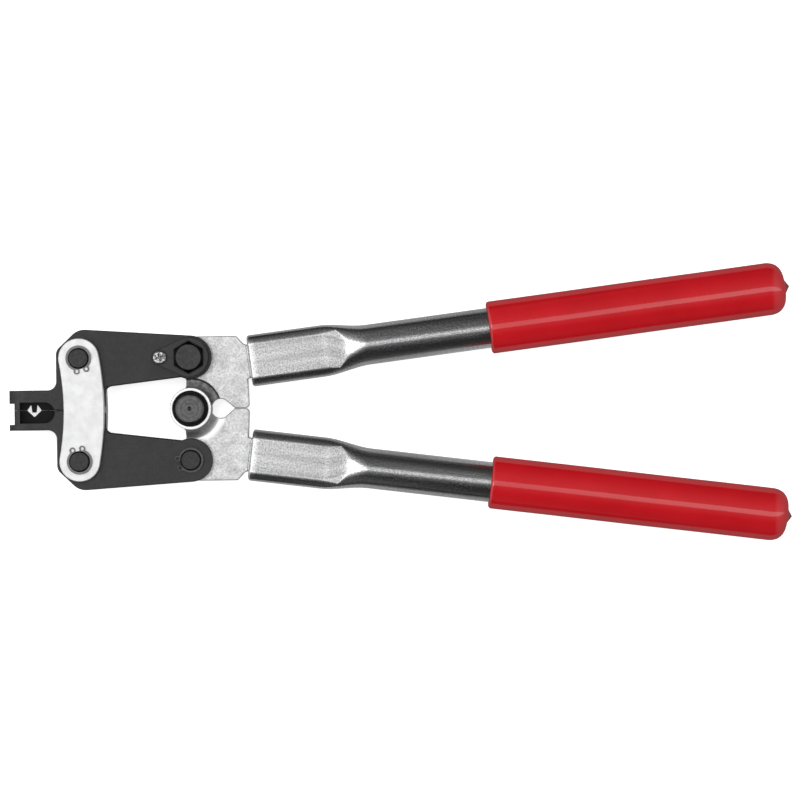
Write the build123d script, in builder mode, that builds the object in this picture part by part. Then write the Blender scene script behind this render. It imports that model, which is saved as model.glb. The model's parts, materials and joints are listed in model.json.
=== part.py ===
from build123d import *
import os
from math import acos, asin, atan2, cos, hypot, radians, sin, tan

# A compound-lever hand crimping tool, closed, lying flat. Two tube handles turn on a centre
# pivot and swing the rear ends of two jaws, which hinge on a pair of link plates, so that the
# jaws' noses close on the work.
#
# Millimetres. The origin is the middle of the crimping mouth. +X runs back along the tool to
# the handles, +Y is across it and +Z is up. Each upper piece lies on +Y.

# ---- pivots -------------------------------------------------------------------------------
link_pin_x = 27.0  # mouth to the two pins of the link plates
pivot_x = 90.3  # mouth to the centre pivot, with the rear pins straight above and below it
pin_offset = 29.5  # each outer pin's distance from the tool's axis
pin_radius = 6.0
running_clearance = 0.05  # radial, wherever a pin or bolt turns in a bore
side_clearance = 0.1  # between faces that slide on each other
parting_gap = 0.02  # half the gap where the jaws, and the levers' stops, meet

# ---- jaws ---------------------------------------------------------------------------------
jaw_thickness = 18.0
nose_tip_x = -13.35
nose_half_height = 11.5
nose_fillet = 5.0
nose_taper_x = -4.6  # in front of this the nose gets thinner
nose_taper = 0.7  # taken off each face at the tip
body_front_x = 13.6
body_rear_x = 40.5
body_shoulder = (34.2, 6.0)  # height where the front face leans back, and its rounding
body_crest = (26.3, 46.3, 10.0)  # x and height of the top corner, and its rounding
arm_inner_front = 13.0
arm_inner_rear = 18.9
arm_inner_fillet = 4.0
jaw_rear_radius = 12.5
jaw_edge_chamfer = 0.5
clevis_gap = 8.8  # between the two cheeks at the jaw's rear
clevis_depth = 14.9  # ahead of the rear pin
cheek_relief = 2.2  # how far the cheeks' inner rims are turned back
cheek_overcut = 0.3  # the turned relief runs on past the rim
heel_relief = 8.3  # degrees that the faces behind the link pins lean away from each other

# ---- mouth --------------------------------------------------------------------------------
notch_depth = 2.85
notch_top = 3.95
notch_bottom = -8.1
pocket_depth = 5.0
pocket_x = -7.5
pocket_centre_y = -1.4
pocket_half_height = 6.1
pocket_flat_length = 14.1
die_half_width = 4.5
die_bottom = -4.2
die_bottom_fillet = 1.4
die_top = (2.5, 2.9)  # half width and height of the upper die's roof
tooth_root_half_width = 1.4
tooth_tip = (0.8, -1.2)  # half width and height of the tooth's flat end

# ---- link plates, pins and retaining rings ------------------------------------------------
link_thickness = 4.0
link_width = 23.1
link_bow = 2.7  # how far the plates bow back between their pins
link_chamfer = 0.4
pin_chamfer = 0.9
pin_end = 1.3  # of the pin beyond its ring's groove
ring_thickness = 1.0
ring_groove_width = 1.1
ring_groove_depth = 0.25
ring_band = (7.3, 0.15)  # on a full-size pin: outer radius, and its shift away from the gap
ring_lug = (7.5, 1.75, 0.95)  # reach of the lugs' centres, lug radius and lug hole radius
ring_lug_angle = 21.8  # from the middle of the gap to each lug
ring_gap = 2.4

# ---- levers -------------------------------------------------------------------------------
lever_thickness = 8.0
eye_radius = 12.0
eye_offset = 4.0  # each lever's eye stands this far to one side of its plate
recess_radius = 17.9
recess_draft = 1.3
web_overrun = 1.12  # the slope's length over the room from the eye to the jaw's cheek
web_ease_share = 0.393  # share of the slope's length over which it eases in and out
rear_eye_radius = 12.0
lost_motion = 2.35  # length that the rear hole is drawn out towards the pivot
lost_motion_side = 0.4
neck_setback = 2.7
neck_fillet = 2.4
neck_fillet_share = 0.4  # a short neck's roundings take at most this share of its length
plate_top_corner = (26.4, 30.5)  # x where the top edge's chamfer starts and ends
plate_top_chamfer = 4.5
plate_rear_x = 33.8
plate_step = (33.0, 16.6)
stop_corner_radius = 2.6
relief_hole_x = 17.05
relief_hole_radius = 5.5
relief_fillet = 1.2  # where the relief hole runs into the eye
stop_start_x = 25.4
lever_chamfer = 0.5

# ---- handles ------------------------------------------------------------------------------
handle_angle = 7.2  # degrees that each handle leans away from the tool's axis
handle_rise = 22.7  # height of the handle's axis where it passes the centre pivot
tube_radius = 11.6
tube_wall = 2.0
tube_start = 34.2  # along the handle, from the pivot
flat_length = 42.0
flat_blend_length = 27.0
flat_width = 29.6
flat_bore_thickness = 7.6
shoulder_gap = 0.4
tang_length = 40.0
tang_root = 1.0  # how far the tang starts inside the plate
tang_edge_gap = 0.6
grip_start = 173.3
grip_length = 173.3
grip_wall = 3.55
grip_mouth_radius = 1.8
grip_end_radius = 9.0
grip_end_rise = 1.6
grip_end_wall = 5.0
drip_height = 2.2
drip_radius = 3.9
drip_offset = 1.4
drip_taper = 30
drip_fillet = 1.0

# ---- centre bolt --------------------------------------------------------------------------
bolt_radius = 6.0
bolt_head_radius = 8.3
bolt_head_height = 5.5
bolt_head_chamfer = 0.7
bolt_centre_mark = (0.1, 1.3, 0.9)  # radius at the bottom and at the top, and depth
bolt_end = 0.6  # beyond the nut
washer_radius = 10.4
washer_thickness = 1.5
nut_across_flats = 19.0
nut_height = 5.5
nut_face_step = 0.3  # the turned face is this much smaller in radius than the flats
hex_rim_angle = 30  # slope of the turned rims of the nut and the adjuster

# ---- eccentric pin and its lock -----------------------------------------------------------
eccentricity = 0.5
front_journal_radius = 7.0
back_journal_radius = 5.0
adjuster_across_flats = 16.0
adjuster_height = 5.0
adjuster_top_radius = 7.5
adjuster_rotation = 30  # a corner points along +Y
lock_plate_thickness = 2.5
lock_plate_radius = 11.5
lock_plate_tail_radius = 4.7
lock_hole_clearance = 0.1
lock_screw_reach = 16.4  # from the eccentric pin's axis
lock_screw_radius = 2.0
lock_screw_depth = 4.2
lock_screw_head_radius = 4.0
lock_screw_head_height = 2.5
lock_screw_head_fillet = 1.1
cross_recess = (4.6, 1.0, 1.4)  # length, width and depth of the screw's cross
cross_taper = 12
cross_angle = 20

# ---- worked out ---------------------------------------------------------------------------
jaw_face = jaw_thickness / 2
link_inner_face = jaw_face + side_clearance
link_outer_face = link_inner_face + link_thickness
lever_face = lever_thickness / 2
eye_top = eye_offset + lever_face
eye_split = side_clearance / 2
web_reach = eye_radius + web_overrun * (pin_offset - jaw_rear_radius - eye_radius)
web_ease = web_ease_share * (web_reach - eye_radius)
washer_seat = eye_top + eye_split
washer_face = washer_seat + washer_thickness
bolt_head_top = washer_face + bolt_head_height
nut_face = washer_face + nut_height
ring_seat_gap = (ring_groove_width - ring_thickness) / 2
eccentric_x = pivot_x - eccentricity
adjuster_top = jaw_face + adjuster_height
lock_plate_face = jaw_face + lock_plate_thickness
lock_screw_x = eccentric_x - lock_screw_reach
grip_radius = tube_radius + grip_wall
tube_end = grip_start + grip_length - grip_end_wall
flat_end = tube_start + flat_length
round_start = flat_end + flat_blend_length
flat_outer_radius = flat_bore_thickness / 2 + tube_wall
flat_half = flat_width / 2 - flat_outer_radius
tang_half_width = flat_half
shoulder = tube_start - shoulder_gap

os.makedirs("parts", exist_ok=True)


# ---- shared helpers -----------------------------------------------------------------------
def save(piece, name):
    """Labels a finished piece and writes its STEP file."""
    piece.part.label = name
    export_step(piece.part, f"parts/{name}.step")


def nearest(shapes, x, y):
    """The vertex of a sketch closest to a point."""
    return shapes.sort_by(lambda vertex: hypot(vertex.X - x, vertex.Y - y))[0]


def tangent_point(start, centre, radius):
    """Where the line from start touches a circle, on the circle's upper side."""
    run, rise = centre[0] - start[0], centre[1] - start[1]
    distance = hypot(run, rise)
    angle = atan2(rise, run) + asin(radius / distance)
    reach = (distance**2 - radius**2) ** 0.5
    return start[0] + reach * cos(angle), start[1] + reach * sin(angle)


def on_handle(along, across):
    """A point of the upper handle's own axes: along it from the pivot, and across it."""
    angle = radians(handle_angle)
    x = pivot_x + along * cos(angle) - across * sin(angle)
    y = handle_rise + along * sin(angle) + across * cos(angle)
    return x, y


def handle_section(along):
    """The plane across the upper handle, its X across the tool and its Y along +Z."""
    angle = radians(handle_angle)
    return Plane(
        origin=(*on_handle(along, 0), 0),
        x_dir=(-sin(angle), cos(angle), 0),
        z_dir=(cos(angle), sin(angle), 0),
    )


def handle_plan():
    """The plane that holds the upper handle's axis, its X along the handle."""
    angle = radians(handle_angle)
    return Plane(
        origin=(pivot_x, handle_rise, 0),
        x_dir=(cos(angle), sin(angle), 0),
        z_dir=(0, 0, 1),
    )


# ---- jaws ---------------------------------------------------------------------------------
def jaw_blank(side):
    """A jaw without its mouth or rear pin holes. side is 1 for the upper jaw, -1 for the lower."""
    shoulder_y, shoulder_radius = body_shoulder
    crest_x, crest_y, crest_radius = body_crest
    rear_top = tangent_point((crest_x, crest_y), (pivot_x, pin_offset), jaw_rear_radius)
    heel_y = parting_gap + (body_rear_x - link_pin_x) * tan(radians(heel_relief))
    corners = [
        (nose_tip_x, parting_gap),
        (nose_tip_x, nose_half_height),
        (body_front_x, nose_half_height),
        (body_front_x, shoulder_y),
        (crest_x, crest_y),
        rear_top,
        (pivot_x, pin_offset),
        (pivot_x, arm_inner_rear),
        (body_rear_x, arm_inner_front),
        (body_rear_x, heel_y),
        (link_pin_x, parting_gap),
    ]
    roundings = [
        (body_front_x, nose_half_height, nose_fillet),
        (body_front_x, shoulder_y, shoulder_radius),
        (crest_x, crest_y, crest_radius),
        (body_rear_x, arm_inner_front, arm_inner_fillet),
    ]
    with BuildPart() as blank:
        with BuildSketch(Plane.XY.offset(-jaw_face)) as outline:
            with BuildLine():
                Polyline([(x, side * y) for x, y in corners], close=True)
            make_face()
            for x, y, radius in roundings:
                fillet(nearest(outline.vertices(), x, side * y), radius)
            with Locations((pivot_x, side * pin_offset)):
                Circle(jaw_rear_radius)
        extrude(amount=jaw_thickness)
        chamfer(blank.faces().filter_by(Axis.Z).edges(), jaw_edge_chamfer)
        # The nose gets thinner towards its tip on both faces.
        with BuildSketch(Plane.XZ.offset(-2 * nose_half_height)):
            for face in (1, -1):
                with BuildLine():
                    Polyline(
                        (nose_taper_x, face * jaw_face),
                        (nose_tip_x, face * (jaw_face - nose_taper)),
                        (nose_tip_x, face * 2 * jaw_face),
                        (nose_taper_x, face * 2 * jaw_face),
                        close=True,
                    )
                make_face()
        extrude(amount=4 * nose_half_height, mode=Mode.SUBTRACT)
        # The clevis that takes the lever's rear eye.
        with BuildSketch(Plane.XY.offset(-clevis_gap / 2)):
            with Locations((pivot_x - clevis_depth, side * pin_offset)):
                Rectangle(
                    clevis_depth + 2 * jaw_rear_radius,
                    4 * jaw_rear_radius,
                    align=(Align.MIN, Align.CENTER),
                )
        extrude(amount=clevis_gap, mode=Mode.SUBTRACT)
        # The cheeks' inner rims are turned back, to pass the slope of the lever's eye.
        relief_start = jaw_rear_radius - cheek_relief
        relief_end = jaw_rear_radius + cheek_overcut
        relief_height = cheek_relief + cheek_overcut
        with BuildSketch(Plane.XZ.offset(-side * pin_offset)):
            for cheek in (1, -1):
                with BuildLine():
                    Polyline(
                        (pivot_x + relief_start, cheek * clevis_gap / 2),
                        (pivot_x + relief_end, cheek * (clevis_gap / 2 + relief_height)),
                        (pivot_x + relief_end, cheek * clevis_gap / 2),
                        close=True,
                    )
                make_face()
        rear_axis = Axis((pivot_x, side * pin_offset, 0), (0, 0, 1))
        revolve(axis=rear_axis, mode=Mode.SUBTRACT)
        with Locations((link_pin_x, side * pin_offset)):
            Hole(pin_radius + running_clearance)
    return blank.part


def mouth_cut():
    """The notch, the two pockets and the die, as one solid to take away from both jaws."""
    die_roof_half, die_roof = die_top
    with BuildPart() as cut:
        with BuildSketch(Plane.XY.offset(-jaw_face)):
            with Locations((nose_tip_x, (notch_top + notch_bottom) / 2)):
                Rectangle(2 * notch_depth, notch_top - notch_bottom)
            with BuildLine():
                Polyline(
                    (-die_half_width, 0),
                    (0, die_bottom),
                    (die_half_width, 0),
                    (die_roof_half, die_roof),
                    (-die_roof_half, die_roof),
                    close=True,
                )
            die = make_face()
            fillet(nearest(die.vertices(), 0, die_bottom), die_bottom_fillet)
        extrude(amount=jaw_thickness)
        for face_side in (1, -1):
            with BuildSketch(Plane.XY.offset(face_side * jaw_face)):
                with Locations((pocket_x, pocket_centre_y)):
                    Rectangle(
                        pocket_flat_length,
                        2 * pocket_half_height,
                        align=(Align.MIN, Align.CENTER),
                    )
                with Locations((pocket_x + pocket_flat_length, pocket_centre_y)):
                    Circle(pocket_half_height)
            extrude(amount=-face_side * pocket_depth)
    return cut.part


upper_blank = jaw_blank(1)
lower_blank = jaw_blank(-1)
mouth = mouth_cut()

with BuildPart() as jaw_upper:
    add(upper_blank)
    add(mouth, mode=Mode.SUBTRACT)
    # The tooth that folds the work into the lower die.
    die_land = jaw_thickness - 2 * pocket_depth
    tip_half_width, tip_height = tooth_tip
    with BuildSketch(Plane.XY.offset(-die_land / 2)):
        with BuildLine():
            Polyline(
                (-tooth_root_half_width, die_top[1] + jaw_edge_chamfer),
                (-tip_half_width, tip_height),
                (tip_half_width, tip_height),
                (tooth_root_half_width, die_top[1] + jaw_edge_chamfer),
                close=True,
            )
        make_face()
    extrude(amount=die_land)
    # Stepped bore for the eccentric pin, and the lock screw's tapped hole.
    with Locations((eccentric_x, pin_offset, jaw_face)):
        Hole(front_journal_radius + running_clearance, depth=jaw_face)
    with Locations((eccentric_x, pin_offset)):
        Hole(back_journal_radius + running_clearance)
    with Locations((lock_screw_x, pin_offset, jaw_face)):
        Hole(lock_screw_radius, depth=lock_screw_depth)

with BuildPart() as jaw_lower:
    add(lower_blank)
    add(mouth, mode=Mode.SUBTRACT)
    with Locations((pivot_x, -pin_offset)):
        Hole(pin_radius + running_clearance)

save(jaw_upper, "jaw_upper")
save(jaw_lower, "jaw_lower")

# ---- link plates --------------------------------------------------------------------------
with BuildPart() as link_plate_front:
    with BuildSketch(Plane.XY.offset(link_inner_face)):
        with BuildLine(mode=Mode.PRIVATE) as bow:
            ThreePointArc(
                (link_pin_x, pin_offset), (link_pin_x + link_bow, 0), (link_pin_x, -pin_offset)
            )
        SlotArc(bow.edges()[0], link_width)
        with Locations((link_pin_x, pin_offset), (link_pin_x, -pin_offset)):
            Circle(pin_radius, mode=Mode.SUBTRACT)
    extrude(amount=link_thickness)
    rims = link_plate_front.edges().filter_by(GeomType.CIRCLE).filter_by(
        lambda edge: edge.radius > pin_radius + running_clearance
    )
    chamfer(rims, link_chamfer)

with BuildPart() as link_plate_back:
    add(link_plate_front.part, rotation=(180, 0, 0))

save(link_plate_front, "link_plate_front")
save(link_plate_back, "link_plate_back")


# ---- pins and retaining rings -------------------------------------------------------------
def straight_pin(x, y, seat):
    """A plain pin along Z with a ring groove outside each seat face at z = seat and -seat."""
    half_length = seat + ring_groove_width + pin_end
    with BuildPart() as pin:
        with Locations((x, y)):
            Cylinder(pin_radius, 2 * half_length)
            chamfer(pin.edges().filter_by(GeomType.CIRCLE), pin_chamfer)
        for face in (1, -1):
            groove_middle = face * (seat + ring_groove_width / 2)
            with Locations((x, y, groove_middle)):
                Cylinder(pin_radius, ring_groove_width, mode=Mode.SUBTRACT)
                Cylinder(pin_radius - ring_groove_depth, ring_groove_width)
    return pin


def retaining_ring(x, y, face, seat, angle, shaft_radius=pin_radius):
    """An external ring in its groove. face is 1 on the front, -1 on the back; angle is the gap's."""
    bore = shaft_radius - ring_groove_depth
    size = shaft_radius / pin_radius
    band_radius, band_shift = (size * value for value in ring_band)
    lug_centre, lug_radius, lug_hole = (size * value for value in ring_lug)
    lugs = PolarLocations(lug_centre, 2, -ring_lug_angle, 4 * ring_lug_angle)
    middle = face * (seat + ring_groove_width / 2)
    base = Plane(
        origin=(x, y, middle - ring_thickness / 2),
        x_dir=(cos(radians(angle)), sin(radians(angle)), 0),
        z_dir=(0, 0, 1),
    )
    with BuildPart() as ring:
        with BuildSketch(base):
            with Locations((-band_shift, 0)):
                Circle(band_radius)
            with lugs:
                Circle(lug_radius)
                with Locations((-lug_radius, 0)):
                    Rectangle(2 * lug_radius, 2 * lug_radius)
            Circle(bore, mode=Mode.SUBTRACT)
            with Locations((lug_centre, 0)):
                Rectangle(2 * lug_centre, size * ring_gap, mode=Mode.SUBTRACT)
            with lugs:
                Circle(lug_hole, mode=Mode.SUBTRACT)
        extrude(amount=ring_thickness)
    return ring


link_pin_upper = straight_pin(link_pin_x, pin_offset, link_outer_face)
link_pin_lower = straight_pin(link_pin_x, -pin_offset, link_outer_face)
jaw_pin_lower = straight_pin(pivot_x, -pin_offset, jaw_face)
save(link_pin_upper, "link_pin_upper")
save(link_pin_lower, "link_pin_lower")
save(jaw_pin_lower, "jaw_pin_lower")

ring_places = [
    ("link_ring_upper_front", link_pin_x, pin_offset, 1, link_outer_face, -76),
    ("link_ring_upper_back", link_pin_x, pin_offset, -1, link_outer_face, -104),
    ("link_ring_lower_front", link_pin_x, -pin_offset, 1, link_outer_face, 100),
    ("link_ring_lower_back", link_pin_x, -pin_offset, -1, link_outer_face, 71),
    ("jaw_pin_ring_front", pivot_x, -pin_offset, 1, jaw_face, 195),
    ("jaw_pin_ring_back", pivot_x, -pin_offset, -1, jaw_face, 168),
]
for ring_name, ring_x, ring_y, ring_face, ring_seat, ring_angle in ring_places:
    save(retaining_ring(ring_x, ring_y, ring_face, ring_seat, ring_angle), ring_name)

# ---- eccentric pin, lock plate and lock screw ---------------------------------------------
with BuildPart() as eccentric_pin:
    with BuildSketch(Plane.XY.offset(jaw_face)):
        with Locations((eccentric_x, pin_offset)):
            RegularPolygon(
                adjuster_across_flats / 2,
                6,
                major_radius=False,
                rotation=adjuster_rotation,
            )
    extrude(amount=adjuster_height)
    with Locations((eccentric_x, pin_offset, jaw_face)):
        Cone(
            adjuster_top_radius + adjuster_height / tan(radians(hex_rim_angle)),
            adjuster_top_radius,
            adjuster_height,
            align=(Align.CENTER, Align.CENTER, Align.MIN),
            mode=Mode.INTERSECT,
        )
    with Locations((eccentric_x, pin_offset, clevis_gap / 2)):
        Cylinder(
            front_journal_radius,
            jaw_face - clevis_gap / 2,
            align=(Align.CENTER, Align.CENTER, Align.MIN),
        )
    with Locations((pivot_x, pin_offset)):
        Cylinder(pin_radius, clevis_gap)
    back_length = jaw_face - clevis_gap / 2 + ring_groove_width + pin_end
    with Locations((eccentric_x, pin_offset, -clevis_gap / 2)):
        Cylinder(
            back_journal_radius,
            back_length,
            align=(Align.CENTER, Align.CENTER, Align.MAX),
        )
    chamfer(eccentric_pin.faces().sort_by(Axis.Z)[0].edges(), pin_chamfer)
    with Locations((eccentric_x, pin_offset, -jaw_face - ring_groove_width / 2)):
        Cylinder(back_journal_radius, ring_groove_width, mode=Mode.SUBTRACT)
        Cylinder(back_journal_radius - ring_groove_depth, ring_groove_width)

save(eccentric_pin, "eccentric_pin")
save(
    retaining_ring(eccentric_x, pin_offset, -1, jaw_face, 12, back_journal_radius),
    "eccentric_pin_ring",
)

with BuildPart() as lock_plate:
    with BuildSketch(Plane.XY.offset(jaw_face)):
        with BuildLine():
            CenterArc((eccentric_x, pin_offset), lock_plate_radius, 0, 360)
            CenterArc((lock_screw_x, pin_offset), lock_plate_tail_radius, 0, 360)
        make_hull()
        with Locations((eccentric_x, pin_offset)):
            RegularPolygon(
                adjuster_across_flats / 2 + lock_hole_clearance,
                6,
                major_radius=False,
                rotation=adjuster_rotation,
                mode=Mode.SUBTRACT,
            )
        with Locations((lock_screw_x, pin_offset)):
            Circle(lock_screw_radius + lock_hole_clearance, mode=Mode.SUBTRACT)
    extrude(amount=lock_plate_thickness)

save(lock_plate, "lock_plate")

with BuildPart() as lock_screw:
    with Locations((lock_screw_x, pin_offset, lock_plate_face)):
        Cylinder(
            lock_screw_head_radius,
            lock_screw_head_height,
            align=(Align.CENTER, Align.CENTER, Align.MIN),
        )
    fillet(lock_screw.edges().sort_by(Axis.Z)[-1], lock_screw_head_fillet)
    shank_length = lock_plate_thickness + lock_screw_depth
    with Locations((lock_screw_x, pin_offset, lock_plate_face)):
        Cylinder(
            lock_screw_radius,
            shank_length,
            align=(Align.CENTER, Align.CENTER, Align.MAX),
        )
    cross_length, cross_width, cross_depth = cross_recess
    with BuildSketch(Plane.XY.offset(lock_plate_face + lock_screw_head_height)):
        with Locations((lock_screw_x, pin_offset)):
            Rectangle(cross_length, cross_width, rotation=cross_angle)
            Rectangle(cross_width, cross_length, rotation=cross_angle)
    extrude(amount=-cross_depth, taper=cross_taper, mode=Mode.SUBTRACT)

save(lock_screw, "lock_screw")


# ---- levers -------------------------------------------------------------------------------
def lever_outline():
    """The upper lever's plan without its holes."""
    top = pin_offset + rear_eye_radius
    relief_centre = pivot_x + relief_hole_x
    stop_start = pivot_x + stop_start_x
    touch_angle = acos(relief_hole_radius / (stop_start_x - relief_hole_x))
    touch = (
        relief_centre + relief_hole_radius * cos(touch_angle),
        relief_hole_radius * sin(touch_angle),
    )
    shoulder_half = tang_half_width + tang_edge_gap
    with BuildSketch() as outline:
        with BuildLine():
            Polyline(
                (pivot_x - neck_setback, parting_gap),
                (pivot_x - neck_setback, pin_offset),
                (pivot_x, top),
                (pivot_x + plate_top_corner[0], top),
                (pivot_x + plate_top_corner[1], top - plate_top_chamfer),
                on_handle(shoulder, shoulder_half),
                on_handle(shoulder, -shoulder_half),
                (pivot_x + plate_step[0], plate_step[1]),
                (pivot_x + plate_rear_x, parting_gap),
                close=True,
            )
        make_face()
        rear_corner = nearest(outline.vertices(), pivot_x + plate_rear_x, parting_gap)
        fillet(rear_corner, stop_corner_radius)
        with BuildLine():
            Polyline(
                (relief_centre, -1),
                touch,
                (stop_start, parting_gap),
                (stop_start, -1),
                close=True,
            )
        make_face(mode=Mode.SUBTRACT)
        with Locations((relief_centre, 0)):
            Circle(relief_hole_radius, mode=Mode.SUBTRACT)
        with Locations((pivot_x, 0)):
            Circle(eye_radius)
        with Locations((pivot_x, pin_offset)):
            Circle(rear_eye_radius)
        neck_bottom = (eye_radius**2 - neck_setback**2) ** 0.5
        neck_top = pin_offset - (rear_eye_radius**2 - neck_setback**2) ** 0.5
        neck_rounding = min(neck_fillet, neck_fillet_share * (neck_top - neck_bottom))
        for neck_y in (neck_bottom, neck_top):
            neck = nearest(outline.vertices(), pivot_x - neck_setback, neck_y)
            fillet(neck, neck_rounding)
        cusp_reach = relief_hole_x**2 + eye_radius**2 - relief_hole_radius**2
        cusp_x = cusp_reach / (2 * relief_hole_x)
        cusp_y = (eye_radius**2 - cusp_x**2) ** 0.5
        cusp = nearest(outline.vertices(), pivot_x + cusp_x, cusp_y)
        fillet(cusp, relief_fillet)
    return outline.sketch


lever_plan = lever_outline()

with BuildPart() as lever_web:
    # The displaced eye and the slope that joins it to the plate.
    with BuildSketch(Plane.XY.offset(-eye_top)):
        add(lever_plan)
    extrude(amount=eye_top - eye_split)
    with BuildSketch(Plane.XZ):
        with BuildLine():
            Line((pivot_x, -eye_split), (pivot_x, -eye_top))
            Line((pivot_x, -eye_top), (pivot_x + eye_radius, -eye_top))
            Bezier(
                (pivot_x + eye_radius, -eye_top),
                (pivot_x + eye_radius + web_ease, -eye_top),
                (pivot_x + web_reach - web_ease, -lever_face),
                (pivot_x + web_reach, -lever_face),
            )
            Line((pivot_x + web_reach, -lever_face), (pivot_x + web_reach, -eye_split))
            Line((pivot_x + web_reach, -eye_split), (pivot_x, -eye_split))
        make_face()
    revolve(axis=Axis((pivot_x, 0, 0), (0, 0, 1)), mode=Mode.INTERSECT)

with BuildPart() as lever_upper:
    with BuildSketch(Plane.XY.offset(-lever_face)):
        add(lever_plan)
    extrude(amount=lever_thickness)
    chamfer(lever_upper.faces().filter_by(Axis.Z).edges(), lever_chamfer)
    # The recess that the other lever's eye turns in.
    with Locations((pivot_x, 0, -eye_split)):
        Cone(
            recess_radius - recess_draft,
            recess_radius,
            lever_face + eye_split,
            align=(Align.CENTER, Align.CENTER, Align.MIN),
            mode=Mode.SUBTRACT,
        )
    add(lever_web.part)
    # The tang that the flattened tube is pressed on.
    with BuildSketch(handle_plan()):
        with Locations((shoulder - tang_root, 0)):
            Rectangle(
                tang_length + tang_root,
                2 * tang_half_width,
                align=(Align.MIN, Align.CENTER),
            )
    extrude(amount=flat_bore_thickness / 2, both=True)
    with Locations((pivot_x, 0)):
        Hole(bolt_radius + running_clearance)
    slot_radius = pin_radius + lost_motion_side
    with BuildSketch(Plane.XY.offset(-eye_top)):
        with Locations((pivot_x, pin_offset - lost_motion / 2)):
            SlotCenterToCenter(lost_motion, 2 * slot_radius, rotation=90)
    extrude(amount=2 * eye_top, mode=Mode.SUBTRACT)

with BuildPart() as lever_lower:
    add(lever_upper.part, rotation=(180, 0, 0))

save(lever_upper, "lever_upper")
save(lever_lower, "lever_lower")


# ---- handle tubes -------------------------------------------------------------------------
def flat_section(radius):
    """The flattened tube's section: two flats with a round edge at each side."""
    with BuildSketch() as section:
        with BuildLine():
            Line((-flat_half, radius), (flat_half, radius))
            CenterArc((flat_half, 0), radius, 90, -180)
            Line((flat_half, -radius), (-flat_half, -radius))
            CenterArc((-flat_half, 0), radius, 270, -180)
        make_face()
    return section.sketch


def round_section(radius):
    """The round tube's section as four arcs, to match the flattened section's four sides."""
    with BuildSketch() as section:
        with BuildLine():
            for start in (135, 45, -45, -135):
                CenterArc((0, 0), radius, start, -90)
        make_face()
    return section.sketch


def tube_run(flat_radius, round_radius):
    """The tube's solid length: flat, blend, round."""
    with BuildPart() as run:
        with BuildSketch(handle_section(tube_start)):
            add(flat_section(flat_radius))
        extrude(amount=flat_length)
        with BuildSketch(handle_section(flat_end)):
            add(flat_section(flat_radius))
        with BuildSketch(handle_section(round_start)):
            add(round_section(round_radius))
        loft()
        with BuildSketch(handle_section(round_start)):
            add(round_section(round_radius))
        extrude(amount=tube_end - round_start)
    return run.part


tube_outside = tube_run(flat_outer_radius, tube_radius)
tube_bore = tube_run(flat_bore_thickness / 2, tube_radius - tube_wall)

with BuildPart() as tube_upper:
    add(tube_outside)
    add(tube_bore, mode=Mode.SUBTRACT)

with BuildPart() as tube_lower:
    add(tube_upper.part, rotation=(180, 0, 0))

save(tube_upper, "tube_upper")
save(tube_lower, "tube_lower")

# ---- grips --------------------------------------------------------------------------------
grip_end = grip_start + grip_length
dome_edge = grip_radius - grip_end_radius

with BuildPart() as grip_upper:
    with BuildSketch(handle_plan()):
        with BuildLine():
            Polyline(
                (grip_end - grip_end_wall, 0),
                (tube_end, tube_radius),
                (grip_start, tube_radius),
                (grip_start, grip_radius - grip_mouth_radius),
            )
            RadiusArc(
                (grip_start, grip_radius - grip_mouth_radius),
                (grip_start + grip_mouth_radius, grip_radius),
                grip_mouth_radius,
            )
            Line(
                (grip_start + grip_mouth_radius, grip_radius),
                (grip_end - grip_end_rise - grip_end_radius, grip_radius),
            )
            RadiusArc(
                (grip_end - grip_end_rise - grip_end_radius, grip_radius),
                (grip_end - grip_end_rise, dome_edge),
                grip_end_radius,
            )
            Spline(
                (grip_end - grip_end_rise, dome_edge),
                (grip_end, 0),
                tangents=((0, -1), (0, -1)),
            )
            Line((grip_end, 0), (grip_end - grip_end_wall, 0))
        make_face()
    revolve(axis=Axis(handle_section(0).origin, handle_section(0).z_dir))
    # The drip that dipping leaves on the closed end.
    with BuildSketch(handle_section(grip_end - grip_end_rise)):
        with Locations((drip_offset, 0)):
            Circle(drip_radius)
    extrude(amount=grip_end_rise + drip_height, taper=drip_taper)
    drip_top = (*on_handle(grip_end + drip_height, drip_offset), 0)
    drip_rim = grip_upper.edges().filter_by(GeomType.CIRCLE).sort_by_distance(drip_top)[0]
    fillet(drip_rim, drip_fillet)

with BuildPart() as grip_lower:
    add(grip_upper.part, rotation=(180, 0, 0))

save(grip_upper, "grip_upper")
save(grip_lower, "grip_lower")

# ---- centre bolt, washers and nut ---------------------------------------------------------
with BuildPart() as pivot_bolt:
    with Locations((pivot_x, 0, washer_face)):
        Cylinder(
            bolt_head_radius,
            bolt_head_height,
            align=(Align.CENTER, Align.CENTER, Align.MIN),
        )
    chamfer(pivot_bolt.edges().sort_by(Axis.Z)[-1], bolt_head_chamfer)
    bolt_length = washer_face + nut_face + bolt_end
    with Locations((pivot_x, 0, washer_face)):
        Cylinder(
            bolt_radius,
            bolt_length,
            align=(Align.CENTER, Align.CENTER, Align.MAX),
        )
    chamfer(pivot_bolt.edges().sort_by(Axis.Z)[0], bolt_head_chamfer)
    mark_point, mark_radius, mark_depth = bolt_centre_mark
    with Locations((pivot_x, 0, bolt_head_top)):
        Cone(
            mark_point,
            mark_radius,
            mark_depth,
            align=(Align.CENTER, Align.CENTER, Align.MAX),
            mode=Mode.SUBTRACT,
        )

save(pivot_bolt, "pivot_bolt")

for washer_name, washer_base in (
    ("pivot_washer_front", washer_seat),
    ("pivot_washer_back", -washer_face),
):
    with BuildPart() as washer:
        with BuildSketch(Plane.XY.offset(washer_base)):
            with Locations((pivot_x, 0)):
                Circle(washer_radius)
                Circle(bolt_radius, mode=Mode.SUBTRACT)
        extrude(amount=washer_thickness)
    save(washer, washer_name)

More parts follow.
